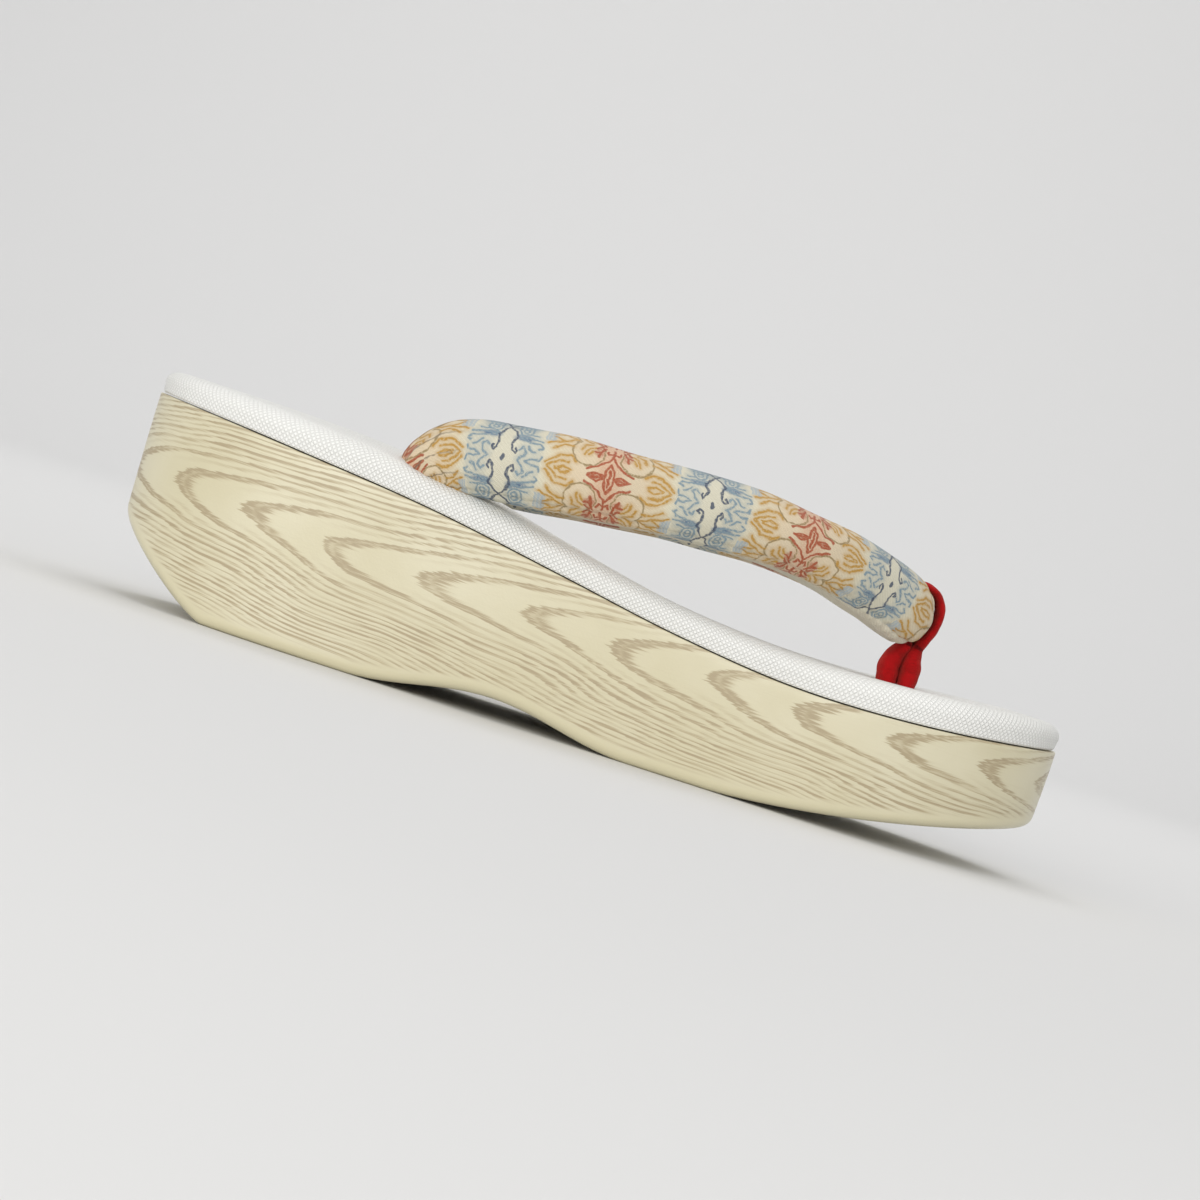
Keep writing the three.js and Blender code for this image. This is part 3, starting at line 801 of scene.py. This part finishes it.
def thong_piece():
    """The band as one flattened tube, from one strand's foot over the strap to the other's."""
    x, z = np.array(THONG_ROWS["x"]), np.array(THONG_ROWS["z"])
    marks = np.concatenate([[0], np.cumsum(np.hypot(np.diff(x), np.diff(z)))])
    at = np.linspace(0, marks[-1], THONG_RINGS)
    middle = np.stack([read_rows(marks, x, at), np.zeros(THONG_RINGS), read_rows(marks, z, at)], 1)
    along = np.gradient(middle, axis=0)
    along /= np.linalg.norm(along, axis=1)[:, None]
    out = np.stack([-along[:, 2], np.zeros(THONG_RINGS), along[:, 0]], 1)
    wide, thick = (read_rows(marks, THONG_ROWS[key], at) for key in ("wide", "thick"))
    turn = np.linspace(0, 2 * math.pi, THONG_SIDES, endpoint=False)
    across = np.sign(np.cos(turn)) * np.abs(np.cos(turn)) ** SOFT_CORNER
    deep = np.sign(np.sin(turn)) * np.abs(np.sin(turn)) ** SOFT_CORNER
    from_sewing = np.minimum(np.abs(at - marks[SEWN_ROW]), np.abs(at - marks[-1 - SEWN_ROW]))
    rings = []
    for k in range(THONG_RINGS):
        ripple = 1 + RIPPLE * np.sin(at[k] * 1.9 + 3 * turn) + RIPPLE * np.sin(at[k] * 0.7 - 2 * turn)
        ring = middle[k] + out[k] * (thick[k] * deep * ripple)[:, None]
        ring[:, 1] += wide[k] * across * ripple
        rings.append(ring)

    def lie(ring, side):
        return (at[ring], across[side % THONG_SIDES] * wide[ring], from_sewing[ring])

    return tube_mesh("thong_band", rings, lie)


thong_band = thong_piece()

VELVET = (0.46, 0.006, 0.008)
VELVET_DEEP = (0.26, 0.004, 0.004)
# Near-black red of painted shade in the pinch where the strip is sewn together.
PINCH_SHADE_RED = (0.07, 0.002, 0.003)
STITCH_PITCH = 1.6
PILE_RELIEF = 0.00030
velvet, tree, shader = finish_material("red_velvet", {
    "Sheen Weight": 0.45, "Sheen Roughness": 0.35, "Sheen Tint": (1.0, 0.16, 0.12, 1),
    "Specular IOR Level": 0.15})
along, across, from_sewing = lie_of(tree)
pile = grain_noise(tree, along, across, scale=5.5, detail=3.0, roughness=0.7)
brushed = grain_noise(tree, along * 0.35, across * 0.5, 3.0, detail=2.0)
nap = (pile * 0.5 + brushed * 0.5).band(0.36, 0.62)
red = layered(tree, VELVET_DEEP, VELVET, nap)
stitches = (across * 2 * math.pi / STITCH_PITCH).sine().band(-0.9, 0.2, 0.55, 1.0)
# A narrow band of painted shade at the sewn pinch, broken by stitch marks; the same reading also sinks the
# stitched groove in the bump.
sewn_shade_and_groove = from_sewing.band(0.15, 0.7, 1, 0) * stitches
red = layered(tree, red, PINCH_SHADE_RED, sewn_shade_and_groove * 0.8)
tree.links.new(red, shader.inputs["Base Color"])
tree.links.new((0.78 + pile * 0.2).value, shader.inputs["Roughness"])
tree.links.new(raised(tree, pile - sewn_shade_and_groove * 1.5, PILE_RELIEF), shader.inputs["Normal"])
thong_band.data.materials.append(velvet)
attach(thong_band, "root")
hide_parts("toe_thong")

# ---------------------------------------------------------------------------------------------
# Studio. A pale seamless sweep under and behind the sandal, a broad soft light overhead and the
# camera low at the sandal's right side, rolled so that the heel stands high.
# ---------------------------------------------------------------------------------------------
SWEEP_HALF_WIDTH, SWEEP_FRONT, SWEEP_TOP = 8.0, -6.0, 3.2
SWEEP_BEND, SWEEP_RADIUS, BEND_STEPS = 1.2, 1.0, 25
bend = [(SWEEP_BEND + SWEEP_RADIUS * math.sin(t), SWEEP_RADIUS * (1 - math.cos(t)))
        for t in np.linspace(0, math.pi / 2, BEND_STEPS)]
profile = [(SWEEP_FRONT, 0.0)] + bend + [(SWEEP_BEND + SWEEP_RADIUS, SWEEP_TOP)]
sweep_mesh = bpy.data.meshes.new("sweep")
sweep_points = [(side * SWEEP_HALF_WIDTH, y, z) for y, z in profile for side in (-1, 1)]
sweep_faces = [(2 * i, 2 * i + 1, 2 * i + 3, 2 * i + 2) for i in range(len(profile) - 1)]
sweep_mesh.from_pydata(sweep_points, [], sweep_faces)
sweep_mesh.polygons.foreach_set("use_smooth", [True] * len(sweep_mesh.polygons))
sweep = bpy.data.objects.new("sweep", sweep_mesh)
bpy.context.scene.collection.objects.link(sweep)
paper, tree, shader = finish_material("pale_paper", {
    "Roughness": 0.8, "Base Color": (0.72, 0.72, 0.715, 1), "Specular IOR Level": 0.2})
sweep_mesh.materials.append(paper)


def softbox(name, place, aim, size, power, colour):
    """A rectangular soft light at a place, turned to its aim."""
    lamp = bpy.data.lights.new(name, "AREA")
    lamp.shape = "RECTANGLE"
    lamp.size, lamp.size_y = size
    lamp.energy = power
    lamp.color = colour
    holder = bpy.data.objects.new(name, lamp)
    holder.location = place
    holder.rotation_euler = (Vector(aim) - Vector(place)).to_track_quat("-Z", "Y").to_euler()
    bpy.context.scene.collection.objects.link(holder)


softbox("overhead", (0.1, 0.15, 1.2), (0, 0, 0), (1.4, 1.2), 5.0, (1.0, 0.99, 0.97))
softbox("front_fill", (-0.45, -1.4, 0.40), (0, 0, 0.03), (1.5, 0.8), 13.5, (1.0, 0.985, 0.95))
softbox("back_wall", (0.0, 0.7, 1.5), (0, 2.0, 0.6), (1.6, 0.6), 9, (1.0, 0.99, 0.98))

sky = bpy.data.worlds.new("studio_air")
sky.use_nodes = True
sky.node_tree.nodes["Background"].inputs["Color"].default_value = (0.985, 0.985, 1.0, 1)
sky.node_tree.nodes["Background"].inputs["Strength"].default_value = 0.62
bpy.context.scene.world = sky
bpy.context.scene.view_settings.view_transform = "Standard"

CAMERA_PLACE = Vector((0.0014, -0.711, 0.0428))
CAMERA_AIM = Vector((0.0, 0.0, 0.0345))
CAMERA_ROLL = math.radians(17.9)
CAMERA_LENS, CAMERA_SENSOR = 86, 36
lens = bpy.data.cameras.new("view")
lens.lens = CAMERA_LENS
lens.sensor_width = CAMERA_SENSOR
lens.clip_start = 0.01
lens.dof.use_dof = False
camera = bpy.data.objects.new("view", lens)
camera.location = CAMERA_PLACE
camera.rotation_mode = "QUATERNION"
straight = (CAMERA_AIM - CAMERA_PLACE).to_track_quat("-Z", "Y")
camera.rotation_quaternion = straight @ Quaternion((0, 0, 1), CAMERA_ROLL)
bpy.context.scene.collection.objects.link(camera)
bpy.context.scene.camera = camera
